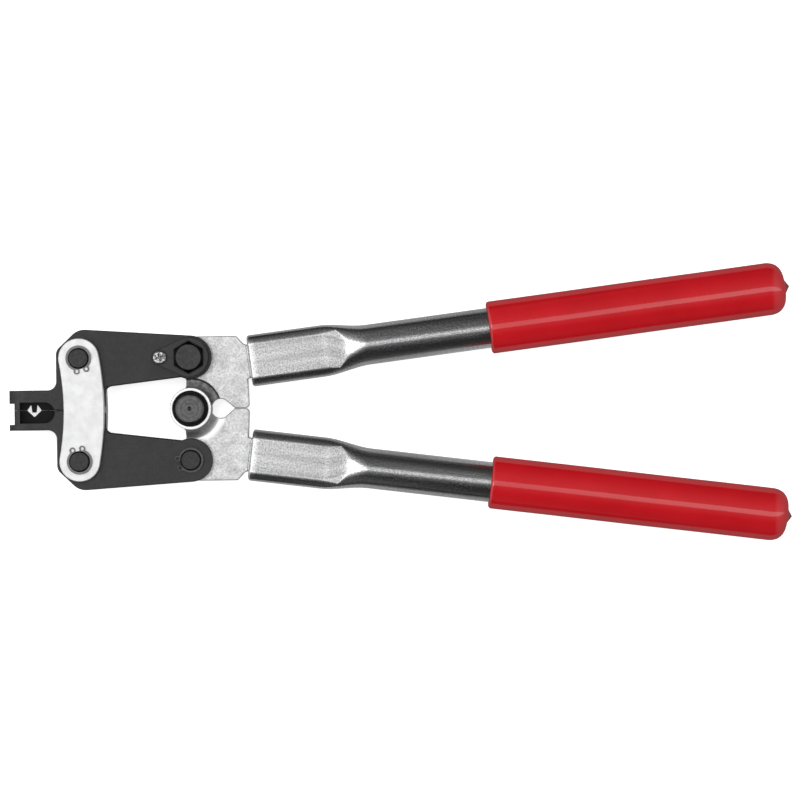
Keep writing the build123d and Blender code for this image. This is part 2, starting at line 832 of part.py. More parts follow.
with BuildPart() as pivot_nut:
    with BuildSketch(Plane.XY.offset(-nut_face)):
        with Locations((pivot_x, 0)):
            RegularPolygon(nut_across_flats / 2, 6, major_radius=False)
    extrude(amount=nut_height)
    # The outer rim is turned off.
    nut_face_radius = nut_across_flats / 2 - nut_face_step
    with Locations((pivot_x, 0, -nut_face)):
        Cone(
            nut_face_radius,
            nut_face_radius + nut_height / tan(radians(hex_rim_angle)),
            nut_height,
            align=(Align.CENTER, Align.CENTER, Align.MIN),
            mode=Mode.INTERSECT,
        )
    with Locations((pivot_x, 0)):
        Hole(bolt_radius)

save(pivot_nut, "pivot_nut")
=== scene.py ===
import json
from math import cos, pi, radians, sin

import bmesh
import bpy
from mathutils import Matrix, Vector


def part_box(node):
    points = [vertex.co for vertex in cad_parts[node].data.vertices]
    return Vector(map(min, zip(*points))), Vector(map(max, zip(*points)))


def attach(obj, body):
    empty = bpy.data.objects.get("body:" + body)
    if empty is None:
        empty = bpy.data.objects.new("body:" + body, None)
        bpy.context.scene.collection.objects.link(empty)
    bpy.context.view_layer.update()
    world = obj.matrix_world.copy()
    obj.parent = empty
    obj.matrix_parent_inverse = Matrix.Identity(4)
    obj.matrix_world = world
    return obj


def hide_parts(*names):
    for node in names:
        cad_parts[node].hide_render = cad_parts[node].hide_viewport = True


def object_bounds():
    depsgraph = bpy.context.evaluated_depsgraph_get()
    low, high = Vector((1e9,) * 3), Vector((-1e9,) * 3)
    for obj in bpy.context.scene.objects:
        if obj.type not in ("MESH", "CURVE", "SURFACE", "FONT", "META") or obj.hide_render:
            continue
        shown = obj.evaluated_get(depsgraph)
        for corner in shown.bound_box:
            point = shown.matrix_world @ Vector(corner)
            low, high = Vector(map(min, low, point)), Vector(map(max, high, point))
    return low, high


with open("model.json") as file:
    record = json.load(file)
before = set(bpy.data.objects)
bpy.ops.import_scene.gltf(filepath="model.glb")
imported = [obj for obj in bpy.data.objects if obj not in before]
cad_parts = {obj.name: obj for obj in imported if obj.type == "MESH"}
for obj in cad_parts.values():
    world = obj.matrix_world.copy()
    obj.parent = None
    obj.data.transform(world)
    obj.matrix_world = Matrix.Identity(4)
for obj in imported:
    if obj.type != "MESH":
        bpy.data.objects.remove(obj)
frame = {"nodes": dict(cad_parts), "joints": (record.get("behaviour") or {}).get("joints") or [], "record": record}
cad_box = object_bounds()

# A compound-lever crimping tool, closed, lying flat and seen from straight above. Metres, in
# the frame's own axes: +X runs back to the handles, +Y across to the upper one, +Z up.

MM = 0.001
JOINTS = {joint["name"]: joint for joint in frame["joints"]}
PIVOT = Vector(JOINTS["handle_upper_hinge"]["pos_m"])
GRIP = next(m for m in frame["record"]["mounts"] if m["name"] == "upper_grip")
HANDLE_DIR = Vector(GRIP["axis"])
HANDLE_SIDE = Vector((-HANDLE_DIR.y, HANDLE_DIR.x, 0))
# Where the handle's axis crosses the pivot's place along the tool: the handle's own origin.
HANDLE_ROOT = Vector(GRIP["pos_m"]) - HANDLE_DIR * (
    (GRIP["pos_m"][0] - PIVOT.x) / HANDLE_DIR.x
)


def make_object(name, mesh):
    """A new object from a finished bmesh, which is used up."""
    data = bpy.data.meshes.new(name)
    mesh.to_mesh(data)
    mesh.free()
    made = bpy.data.objects.new(name, data)
    bpy.context.scene.collection.objects.link(made)
    return made


# ---- shader helpers -----------------------------------------------------------------------
def fill_ramp(ramp, stops):
    while len(ramp.elements) < len(stops):
        ramp.elements.new(0.5)
    for element, (position, value) in zip(ramp.elements, stops):
        element.position = position
        colour = value if hasattr(value, "__len__") else (value, value, value)
        element.color = (*colour, 1)


def signed_stops(stops):
    """Stops over a value that runs from -1 to 1, moved to a ramp's 0 to 1."""
    return [((at + 1) / 2, value) for at, value in stops]


class Shader:
    """A material's node tree, with short calls for the nodes that the finishes share."""

    def __init__(self, name):
        self.material = bpy.data.materials.new(name)
        self.material.use_nodes = True
        self.tree = self.material.node_tree
        self.principled = self.tree.nodes["Principled BSDF"]
        self.coords = self.tree.nodes.new("ShaderNodeTexCoord").outputs["Object"]
        self.bumped = None

    def set(self, **values):
        for name, value in values.items():
            self.principled.inputs[name.replace("_", " ")].default_value = value

    def link(self, source, socket):
        self.tree.links.new(source, socket)

    def mapped(self, scale):
        node = self.tree.nodes.new("ShaderNodeMapping")
        node.inputs["Scale"].default_value = scale
        self.link(self.coords, node.inputs["Vector"])
        return node.outputs["Vector"]

    def noise(self, scale, detail, roughness=0.55, vector=None):
        node = self.tree.nodes.new("ShaderNodeTexNoise")
        node.inputs["Scale"].default_value = scale
        node.inputs["Detail"].default_value = detail
        node.inputs["Roughness"].default_value = roughness
        self.link(vector or self.coords, node.inputs["Vector"])
        return node.outputs["Fac"]

    def ramp(self, fac, stops):
        """Greys or colours by fac, from stops of a position from 0 to 1 and a value."""
        node = self.tree.nodes.new("ShaderNodeValToRGB")
        fill_ramp(node.color_ramp, stops)
        self.link(fac, node.inputs["Fac"])
        return node.outputs["Color"]

    def profile(self, length, stops):
        """A ramp over a length, its stops in millimetres."""
        reach = stops[-1][0] * 1.1
        share = self.math("MULTIPLY", length, 1 / (reach * MM))
        return self.ramp(share, [(mm / reach, value) for mm, value in stops])

    def mix(self, kind, fac, a, b):
        node = self.tree.nodes.new("ShaderNodeMix")
        node.data_type = "RGBA"
        node.blend_type = kind
        for socket, value in ((node.inputs[0], fac), (node.inputs[6], a), (node.inputs[7], b)):
            if hasattr(value, "is_linked"):
                self.link(value, socket)
            elif hasattr(value, "__len__"):
                socket.default_value = (*value, 1)
            else:
                socket.default_value = value
        return node.outputs[2]

    def math(self, kind, a, b=0.0, c=0.0):
        node = self.tree.nodes.new("ShaderNodeMath")
        node.operation = kind
        for socket, value in zip(node.inputs, (a, b, c)):
            if hasattr(value, "is_linked"):
                self.link(value, socket)
            else:
                socket.default_value = value
        return node.outputs[0]

    def axis(self, name):
        node = self.tree.nodes.new("ShaderNodeSeparateXYZ")
        self.link(self.coords, node.inputs[0])
        return node.outputs[name]

    def distance(self, centre):
        """How far a point is from the upright axis through centre."""
        shift = self.tree.nodes.new("ShaderNodeVectorMath")
        shift.operation = "SUBTRACT"
        shift.inputs[1].default_value = centre
        self.link(self.coords, shift.inputs[0])
        flat = self.tree.nodes.new("ShaderNodeVectorMath")
        flat.operation = "MULTIPLY"
        flat.inputs[1].default_value = (1, 1, 0)
        self.link(shift.outputs[0], flat.inputs[0])
        reach = self.tree.nodes.new("ShaderNodeVectorMath")
        reach.operation = "LENGTH"
        self.link(flat.outputs[0], reach.inputs[0])
        return reach.outputs["Value"]

    def bump(self, height, distance, strength):
        node = self.tree.nodes.new("ShaderNodeBump")
        node.inputs["Strength"].default_value = strength
        node.inputs["Distance"].default_value = distance
        self.link(height, node.inputs["Height"])
        if self.bumped:
            self.link(self.bumped, node.inputs["Normal"])
        self.bumped = node.outputs["Normal"]
        self.link(self.bumped, self.principled.inputs["Normal"])

    def colour(self, source):
        self.link(source, self.principled.inputs["Base Color"])

    def rough(self, source):
        self.link(source, self.principled.inputs["Roughness"])


# ---- finishes -----------------------------------------------------------------------------
JAW_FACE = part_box("jaw_upper")[1].z / MM
# Profiles are (millimetres, value). RECESS_DEPTH and SUNK_SHADE go by height from the middle
# plane, and the three after RECESS_DEPTH by distance from the pivot. RECESS_SHADE_MOTTLE goes by a noise.
RECESS_RADIUS = 17.95
RECESS_DEPTH = ((2.2, 1), (3.6, 0))
# Bright on the machined boss, then a painted highlight on an arc round the boss's foot.
MACHINED_BOSS_AND_HIGHLIGHT = ((0, 1), (11.7, 1), (12.2, 0), (14.5, 0), (17.9, 0.85), (19.2, 0.9), (21.4, 0))
BOSS_OUTLINE = ((11.5, 0), (11.9, 1), (12.4, 1), (13.2, 0))
SLOPE_SHADE = ((12.0, 0), (12.4, 0.5), (13.5, 0.62), (15.6, 0.42), (17.8, 0))
# Painted shade in the lever's recess, mottled by noise.
RECESS_SHADE_MOTTLE = ((0.3, 0.45), (0.6, 0.9))
# Painted shade on surfaces lying below the jaws' faces, darkest in the die pockets.
SUNK_SHADE = ((JAW_FACE - 1.2, 0.18), (JAW_FACE - 0.3, 1))


def edge_mask(shader, radius, low, high):
    """White along a piece's edges: where a rounded normal leaves the true one."""
    bevel = shader.tree.nodes.new("ShaderNodeBevel")
    bevel.samples = 4
    bevel.inputs["Radius"].default_value = radius
    true = shader.tree.nodes.new("ShaderNodeNewGeometry").outputs["Normal"]
    dot = shader.tree.nodes.new("ShaderNodeVectorMath")
    dot.operation = "DOT_PRODUCT"
    shader.link(bevel.outputs["Normal"], dot.inputs[0])
    shader.link(true, dot.inputs[1])
    return shader.ramp(dot.outputs["Value"], ((low, 1), (high, 0)))


def black_forging(name, tone):
    """Satin black forged steel: cloudy tone, fine pitting, edges rubbed a little lighter, and painted
    shade below the faces.
    """
    s = Shader(name)
    s.set(Metallic=0.0, Specular_IOR_Level=0.36)
    cloud = s.noise(55, 3)
    grain = s.noise(1500, 4, 0.65)
    tint = s.ramp(cloud, ((0.3, tone * 0.85), (0.7, tone * 1.18)))
    speck = s.ramp(grain, ((0.35, 0.76), (0.68, 1.28)))
    body = s.mix("MULTIPLY", 1.0, tint, speck)
    worn = s.math("MULTIPLY", edge_mask(s, 0.35 * MM, 0.90, 0.995), s.noise(300, 3))
    body = s.mix("MIX", worn, body, (0.070, 0.070, 0.073))
    # Painted shade: darker and duller on surfaces lying below the faces, as in the die pockets.
    sunk_shade = s.profile(s.math("ABSOLUTE", s.axis("Z")), SUNK_SHADE)
    s.colour(s.mix("MULTIPLY", 1.0, body, sunk_shade))
    satin = s.ramp(s.noise(420, 3), ((0.3, 0.38), (0.7, 0.52)))
    s.rough(s.mix("MIX", sunk_shade, (0.9, 0.9, 0.9), satin))
    s.bump(grain, 0.030 * MM, 0.7)
    s.bump(s.noise(160, 3), 0.05 * MM, 0.4)
    return s.material


def outlined_forging(name, tone, rim_width):
    """The same black finish on a thin plate, near-black along its edges."""
    s = Shader(name)
    s.set(Metallic=0.0, Specular_IOR_Level=0.36)
    grain = s.noise(1700, 4, 0.65)
    rim = edge_mask(s, rim_width, 0.78, 0.994)
    tint = s.ramp(grain, ((0.33, tone * 0.75), (0.68, tone * 1.25)))
    s.colour(s.mix("MIX", rim, tint, (0.0015, 0.0015, 0.0015)))
    s.rough(s.mix("MIX", rim, s.ramp(s.noise(420, 3), ((0.3, 0.36), (0.7, 0.48))), (0.95,) * 3))
    s.bump(grain, 0.025 * MM, 0.7)
    return s.material


def bright_zinc(name):
    """Near-white satin zinc plate with faint clouds and a fine tumbled grain."""
    s = Shader(name)
    s.set(Metallic=0.75)
    cloud = s.noise(210, 5, 0.6)
    fine = s.noise(2100, 3, 0.6)
    tint = s.ramp(cloud, ((0.32, (0.57, 0.57, 0.575)), (0.66, (0.65, 0.65, 0.65))))
    s.colour(s.mix("MULTIPLY", 0.5, tint, s.ramp(fine, ((0.3, 0.90), (0.6, 1.0)))))
    s.rough(s.ramp(cloud, ((0.3, 0.42), (0.7, 0.36))))
    s.bump(fine, 0.008 * MM, 0.5)
    s.bump(s.noise(700, 2), 0.010 * MM, 0.4)
    return s.material


def cast_zinc(name, side):
    """Zinc over a shot-blasted forging: mottled and speckled, with a machined boss, a painted
    highlight on an arc round the boss's foot, and painted shade by the boss and in the recess.
    side is the boss's."""
    s = Shader(name)
    s.set(Metallic=0.7)
    cloud = s.noise(170, 4, 0.6)
    speckle = s.noise(950, 4, 0.75)
    tint = s.ramp(cloud, ((0.3, (0.45, 0.45, 0.455)), (0.7, (0.67, 0.67, 0.67))))
    flecks = s.ramp(speckle, ((0.34, 0.58), (0.50, 0.94), (0.66, 1.16)))
    face = s.mix("MULTIPLY", 0.9, tint, flecks)
    reach = s.distance(PIVOT)
    height = s.axis("Z")
    boss_side = s.math("GREATER_THAN", s.math("MULTIPLY", height, side), 0)
    # Bright machined boss, and a painted highlight on an arc round the boss's foot, boss side only.
    ringed = s.profile(reach, MACHINED_BOSS_AND_HIGHLIGHT)
    boss_and_highlight = s.math("MULTIPLY", ringed, boss_side)
    face = s.mix("MIX", boss_and_highlight, face, (0.86, 0.86, 0.86))
    outline = s.math("MULTIPLY", s.profile(reach, BOSS_OUTLINE), boss_side)
    face = s.mix("MIX", s.math("MULTIPLY", outline, 0.7), face, (0.07, 0.07, 0.07))
    shade = s.math("MULTIPLY", s.profile(reach, SLOPE_SHADE), boss_side)
    face = s.mix("MIX", shade, face, (0.05, 0.05, 0.05))
    # Painted shade on the recess floor near the middle plane, mottled by noise.
    deep = s.profile(s.math("ABSOLUTE", height), RECESS_DEPTH)
    inside = s.math("LESS_THAN", reach, RECESS_RADIUS * MM)
    recess_shade = s.math("MULTIPLY", s.math("MULTIPLY", deep, inside), s.ramp(s.noise(420, 4), RECESS_SHADE_MOTTLE))
    face = s.mix("MIX", recess_shade, face, (0.045, 0.045, 0.045))
    rim = s.math("MULTIPLY", edge_mask(s, 0.30 * MM, 0.86, 0.99), 0.75)
    s.colour(s.mix("MIX", rim, face, (0.10, 0.10, 0.10)))
    s.rough(s.ramp(speckle, ((0.35, 0.48), (0.65, 0.32))))
    s.bump(speckle, 0.04 * MM, 0.8)
    s.bump(s.noise(420, 3), 0.04 * MM, 0.5)
    return s.material


def plated_tube(name):
    """Nickel-chrome over drawn tube: mirror bright, with drawing streaks and fine grain."""
    s = Shader(name)
    s.set(Metallic=1.0)
    run = s.tree.nodes.new("ShaderNodeUVMap")
    run.uv_map = "run"
    s.coords = run.outputs["UV"]
    streak = s.noise(1, 4, 0.6, s.mapped((90, 1500, 1)))
    band = s.noise(1, 3, 0.5, s.mapped((9, 210, 1)))
    grain = s.noise(1050, 4, 0.75)
    tint = s.ramp(band, ((0.36, (0.32, 0.32, 0.325)), (0.64, (0.50, 0.50, 0.50))))
    flecks = s.ramp(grain, ((0.36, 0.45), (0.50, 0.92), (0.66, 1.30)))
    s.colour(s.mix("MULTIPLY", 0.9, tint, flecks))
    s.rough(s.ramp(streak, ((0.3, 0.17), (0.7, 0.27))))
    s.bump(streak, 0.003 * MM, 0.5)
    s.bump(grain, 0.020 * MM, 0.6)
    return s.material


def dipped_vinyl(name):
    """Gloss red vinyl: deep colour, long soft ripples from dipping, a dark hardened drip."""
    s = Shader(name)
    s.set(Metallic=0.0, Specular_IOR_Level=0.0)
    s.set(Coat_Weight=0.21, Coat_IOR=3.1, Coat_Roughness=0.06)
    cloud = s.noise(38, 3)
    fine = s.noise(900, 3, 0.6)
    tint = s.ramp(cloud, ((0.3, (0.49, 0.006, 0.011)), (0.7, (0.55, 0.008, 0.014))))
    skin = s.mix("MULTIPLY", 0.25, tint, s.ramp(fine, ((0.3, 0.88), (0.7, 1.05))))
    drip = s.tree.nodes.new("ShaderNodeAttribute")
    drip.attribute_name = "drip"
    thick = s.ramp(drip.outputs["Fac"], ((0.15, 0), (0.6, 1)))
    s.colour(s.mix("MIX", thick, skin, (0.11, 0.004, 0.007)))
    s.rough(s.ramp(s.noise(240, 4), ((0.3, 0.32), (0.75, 0.42))))
    s.bump(fine, 0.002 * MM, 0.5)
    s.bump(s.noise(75, 2), 0.05 * MM, 0.3)
    return s.material


def turned_steel(name, centre, tone, face, rings):
    """Steel turned about an upright axis at centre, with that many rings to the metre: a face
    of radius face, and black oxide beyond it, on the chamfer and the sides, painted near-black
    as shade."""
    s = Shader(name)
    s.set(Metallic=1.0)
    reach = s.distance(centre)
    wobble = s.math("MULTIPLY", s.noise(130, 2), 1.3 * MM)
    radius = s.math("ADD", reach, wobble)
    lathe = s.math("SINE", s.math("MULTIPLY", radius, rings * 2 * pi))
    lathe = s.math("MULTIPLY", s.math("ADD", lathe, 1.0), 0.5)
    mottle = s.noise(520, 4, 0.7)
    tint = s.ramp(mottle, ((0.3, tone * 0.82), (0.7, tone * 1.22)))
    turned = s.mix("MULTIPLY", 0.6, tint, s.ramp(lathe, ((0.0, 0.80), (1.0, 1.18))))
    # Black oxide beyond the face, painted near-black as shade on the chamfer and the sides.
    share = s.math("DIVIDE", reach, face * 2 * MM)
    oxide = s.ramp(share, ((0.49, 0), (0.51, 1)))
    s.colour(s.mix("MIX", oxide, turned, (0.006, 0.006, 0.006)))
    s.rough(s.ramp(mottle, ((0.3, 0.48), (0.7, 0.36))))
    s.bump(lathe, 0.006 * MM, 0.5)
    s.bump(mottle, 0.008 * MM, 0.5)
    return s.material


def washer_black(name):
    """Matt black oxide, the darkest finish on the tool, with a fine stamped grain."""
    s = Shader(name)
    s.set(Metallic=0.0, Specular_IOR_Level=0.12)
    grain = s.noise(1300, 4, 0.65)
    s.colour(s.ramp(grain, ((0.3, 0.004), (0.7, 0.009))))
    s.rough(s.ramp(s.noise(500, 3), ((0.3, 0.55), (0.7, 0.75))))
    s.bump(grain, 0.02 * MM, 0.6)
    return s.material


def spring_steel(name, tone, rim_width):
    """Stamped spring steel with a rolled grain and a dull dark rim."""
    s = Shader(name)
    s.set(Metallic=1.0)
    mottle = s.noise(700, 4, 0.65)
    tint = s.ramp(mottle, ((0.3, tone * 0.85), (0.7, tone * 1.2)))
    rim = s.math("MULTIPLY", edge_mask(s, rim_width, 0.80, 0.992), 0.95)
    s.colour(s.mix("MIX", rim, tint, (tone * 0.06,) * 3))
    s.rough(s.mix("MIX", rim, s.ramp(mottle, ((0.3, 0.46), (0.7, 0.36))), (0.8,) * 3))
    s.bump(mottle, 0.008 * MM, 0.5)
    return s.material


def screw_zinc(name):
    """Bright zinc on a small screw: glossy, nicked, painted shade round the head and in the cross."""
    s = Shader(name)
    s.set(Metallic=1.0)
    nick = s.noise(820, 4, 0.7)
    # Painted shade: near-black round the head's edge and in the cross's recess.
    rim = edge_mask(s, 0.9 * MM, 0.72, 0.99)
    tone = s.ramp(nick, ((0.40, 0.06), (0.50, 0.24), (0.62, 0.56)))
    s.colour(s.mix("MIX", rim, tone, (0.03, 0.03, 0.03)))
    s.rough(s.ramp(nick, ((0.3, 0.34), (0.7, 0.18))))
    s.bump(nick, 0.06 * MM, 0.9)
    return s.material


def wear(node, material):
    """Gives a CAD node its finish in place of the plain one."""
    slots = frame["nodes"][node].data.materials
    slots.clear()
    slots.append(material)


def middle(node):
    low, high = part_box(node)
    return (low + high) / 2


# Radii of the turned faces inside their chamfers, in millimetres, and rings to the metre.
PIN_FACE = 5.4
HEX_FACE = 7.1
BOLT_FACE = 8.2
FINE_RINGS = 1700.0
COARSE_RINGS = 480.0

forging = black_forging("black_forging", 0.016)
for node in ("jaw_upper", "jaw_lower"):
    wear(node, forging)
wear("lock_plate", outlined_forging("lock_plate_black", 0.018, 1.5 * MM))
zinc_plate = bright_zinc("link_plate_zinc")
for node in ("link_plate_front", "link_plate_back"):
    wear(node, zinc_plate)
for node, side in (("lever_upper", -1), ("lever_lower", 1)):
    wear(node, cast_zinc(node + "_zinc", side))
for node in ("link_pin_upper", "link_pin_lower", "jaw_pin_lower"):
    wear(node, turned_steel(node + "_steel", middle(node), 0.043, PIN_FACE, FINE_RINGS))
hexagon = turned_steel("eccentric_steel", middle("eccentric_pin"), 0.048, HEX_FACE, FINE_RINGS)
wear("eccentric_pin", hexagon)
for node in ("pivot_bolt", "pivot_nut"):
    wear(node, turned_steel(node + "_steel", PIVOT, 0.100, BOLT_FACE, COARSE_RINGS))
for node in ("pivot_washer_front", "pivot_washer_back"):
    wear(node, washer_black(node + "_finish"))
ring_grey = spring_steel("ring_grey_steel", 0.15, 0.18 * MM)
for node in frame["nodes"]:
    if node.startswith("link_ring"):
        wear(node, ring_grey)
ring_dark = spring_steel("ring_dark_steel", 0.074, 0.5 * MM)
for node in ("jaw_pin_ring_front", "jaw_pin_ring_back", "eccentric_pin_ring"):
    wear(node, ring_dark)
wear("lock_screw", screw_zinc("lock_screw_zinc"))


# ---- handle tubes -------------------------------------------------------------------------
# Millimetres, and places along the handle's axis from its origin. The tube is flat to FLAT_END
# and round from ROUND_START. Dies press a facet into it, which ends in a ramp.
TUBE_RADIUS = 11.6
TUBE_WALL = 2.0
TUBE_START = 34.2
FLAT_END = 76.2
FLAT_HALF_HEIGHT = 5.8
RAMP_START = 85.4
RAMP_END = 99.6
RAMP_EASE = 1.7
ROUND_START = 103.2
TUBE_END = 341.6
GIRTH = 2 * pi * TUBE_RADIUS
END_ROUNDING = 1.6
SHOULDER_SOFTNESS = 0.28
# Past its ramp the die rises clear of the tube: DIE_LIFT for each ramp's length, up to DIE_REACH
# ramp lengths from the ramp's start.
DIE_LIFT = 8
DIE_REACH = 1.3
# How far apart the tube's sections stand: (where a stretch ends, step).
TUBE_STRETCHES = (
    (FLAT_END, 3), (RAMP_START, 0.9), (RAMP_END + 3, 0.35), (ROUND_START + 4, 0.8), (TUBE_END, 8),
)
TUBE_AROUND = 144
TUBE_CREASE = 16


def smooth(t):
    """From 0 to 1 with level ends."""
    t = min(max(t, 0), 1)
    return t * t * (3 - 2 * t)


def soft_min(a, b, k):
    """The smaller of a and b, rounded over k where they meet."""
    h = min(max(0.5 + 0.5 * (b - a) / k, 0), 1)
    return b + (a - b) * h - k * h * (1 - h)


def swell(along):
    """The tube's half height before the dies press the facet: flat, then round again."""
    share = smooth((along - FLAT_END) / (ROUND_START - FLAT_END))
    return FLAT_HALF_HEIGHT + (TUBE_RADIUS - FLAT_HALF_HEIGHT) * share


def die_height(along):
    """The pressed facet's height: level, then a sharp line and a ramp that eases out."""
    facet = FLAT_HALF_HEIGHT + SHOULDER_SOFTNESS / 4
    t = min(max((along - RAMP_START) / (RAMP_END - RAMP_START), 0), DIE_REACH)
    if t > 1:
        return TUBE_RADIUS + (t - 1) * DIE_LIFT
    return facet + (TUBE_RADIUS - facet) * (1 - (1 - t) ** RAMP_EASE)


def tube_section(along, inset):
    """Points round the tube at one station, as (across, up), by equal steps of its girth."""
    half = swell(along) - inset
    flat = max((GIRTH - 2 * pi * (half + inset)) / 4, 0)
    arc = pi * half
    total = 4 * flat + 2 * arc
    points = []
    for step in range(TUBE_AROUND):
        run = total * step / TUBE_AROUND
        if run < 2 * flat:
            across, up = flat - run, half
        elif run < 2 * flat + arc:
            angle = pi / 2 + (run - 2 * flat) / half
            across, up = -flat + half * cos(angle), half * sin(angle)
        elif run < 4 * flat + arc:
            across, up = -flat + (run - 2 * flat - arc), -half
        else:
            angle = -pi / 2 + (run - 4 * flat - arc) / half
            across, up = flat + half * cos(angle), half * sin(angle)
        limit = die_height(along) - inset
        pressed = soft_min(abs(up), limit, SHOULDER_SOFTNESS)
        points.append((across, pressed if up > 0 else -pressed))
    return points


def span(start, end, step):
    """Values from start to end, evenly spaced and about step apart."""
    count = max(1, round((end - start) / step))
    return [start + (end - start) * i / count for i in range(count + 1)]


def handle_point(along, across, up, side):
    """A point of one handle's own axes, in the frame. side is 1 for the upper handle."""
    p = HANDLE_ROOT + HANDLE_DIR * along * MM + HANDLE_SIDE * across * MM
    return Vector((p.x, side * p.y, up * MM))


def build_tube(side):
    """A hollow flattened tube: outside, end faces and bore as one closed skin. Its uv map, run,
    holds metres along the skin and round it."""
    name = "handle_tube_upper" if side > 0 else "handle_tube_lower"
    outside = [(TUBE_START + END_ROUNDING * (1 - cos(a)), END_ROUNDING * (1 - sin(a)))
               for a in (0, pi / 8, pi / 4, 3 * pi / 8)]
    start = TUBE_START + END_ROUNDING
    stations = [start]
    for end, step in TUBE_STRETCHES:
        stations += span(start, end, step)[1:]
        start = end
    outside += [(s, 0) for s in stations]
    inside = [(s, TUBE_WALL) for s in reversed([TUBE_START] + stations)]
    loops = outside + inside
    mesh = bmesh.new()
    uv = mesh.loops.layers.uv.new("run")
    rings = []
    for along, inset in loops:
        section = tube_section(along, inset)
        rings.append([mesh.verts.new(handle_point(along, a, u, side)) for a, u in section])
    travel = [0.0]
    for (s0, i0), (s1, i1) in zip(loops, loops[1:]):
        travel.append(travel[-1] + abs(s1 - s0) + abs(i1 - i0))
    for k in range(len(rings)):
        near, far = rings[k], rings[(k + 1) % len(rings)]
        for i in range(TUBE_AROUND):
            j = (i + 1) % TUBE_AROUND
            corners = [near[i], near[j], far[j], far[i]]
            if side > 0:
                corners.reverse()
            face = mesh.faces.new(corners)
            face.smooth = True
            for loop in face.loops:
                far_edge = loop.vert in (far[i], far[j])
                next_edge = loop.vert in (near[j], far[j])
                run = travel[(k + 1) % len(rings)] if far_edge else travel[k]
                turn = (i + 1) if next_edge else i
                loop[uv].uv = (run * MM, turn / TUBE_AROUND * GIRTH * MM)
    bmesh.ops.recalc_face_normals(mesh, faces=mesh.faces)
    return make_object(name, mesh)


def keep_creases(piece, angle):
    """Smooth shading that stays crisp across edges sharper than angle, in degrees."""
    piece.data.set_sharp_from_angle(angle=radians(angle))


tube_finish = plated_tube("plated_tube")
for side, half in ((1, "upper"), (-1, "lower")):
    tube = build_tube(side)
    keep_creases(tube, TUBE_CREASE)
    tube.data.materials.append(tube_finish)
    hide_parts(f"tube_{half}")
    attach(tube, f"handle_{half}")


# ---- grips --------------------------------------------------------------------------------
# Millimetres. DOME_EASE makes the end's corner squarer than an arc, and DOME_RISE bulges the
# end's face. The drip hangs off the end's middle by DRIP_OFFSET.
GRIP_START = 173.3
GRIP_END = 346.6
GRIP_RADIUS = 15.15
MOUTH_ROUNDING = 1.8
LIP_ROUNDING = 0.7
DOME_ROUNDING = 10.5
DOME_EASE = 2 / 2.4
DOME_RISE = 1.6
DRIP_HEIGHT = 1.8
DRIP_RADIUS = 3.7
DRIP_OFFSET = 1.4
DRIP_STEEPNESS = 1.7
RIPPLE = 0.03
RIPPLE_LENGTH = 14
GRIP_AROUND = 120
GRIP_CREASE = 50


def arc_rows(along, radius, reach, start, end, steps):
    """Profile points on an arc about (along, radius), from start to end degrees."""
    angles = [radians(start + (end - start) * i / steps) for i in range(steps + 1)]
    return [(along + reach * cos(a), radius + reach * sin(a)) for a in angles]


def grip_profile():
    """The grip's skin as (along, radius): bore, lip, rolled mouth, barrel and dome."""
    rows = [(s, TUBE_RADIUS) for s in span(TUBE_END, GRIP_START + LIP_ROUNDING, 30)]
    lip = (GRIP_START + LIP_ROUNDING, TUBE_RADIUS + LIP_ROUNDING)
    rows += arc_rows(*lip, LIP_ROUNDING, 270, 180, 6)[1:]
    mouth = (GRIP_START + MOUTH_ROUNDING, GRIP_RADIUS - MOUTH_ROUNDING)
    rows += arc_rows(*mouth, MOUTH_ROUNDING, 180, 90, 12)
    dome_start = GRIP_END - DOME_RISE - DOME_ROUNDING
    dome_edge = GRIP_RADIUS - DOME_ROUNDING
    rows += [(s, GRIP_RADIUS) for s in span(mouth[0], dome_start, 3)[1:-1]]
    for along, out in arc_rows(0, 0, 1, 90, 0, 24):
        reach = max(along, 0) ** DOME_EASE, out ** DOME_EASE if out > 0 else 0
        rows.append((dome_start + DOME_ROUNDING * reach[0], dome_edge + DOME_ROUNDING * reach[1]))
    for radius in span(dome_edge, 0, 0.35)[1:-1]:
        rows.append((GRIP_END - DOME_RISE * smooth(radius / dome_edge), radius))
    return rows


def drip_share(beside):
    """The drip's height, as a share of its full height, at a distance from its middle."""
    return max(1 - (beside / DRIP_RADIUS) ** 2, 0) ** DRIP_STEEPNESS


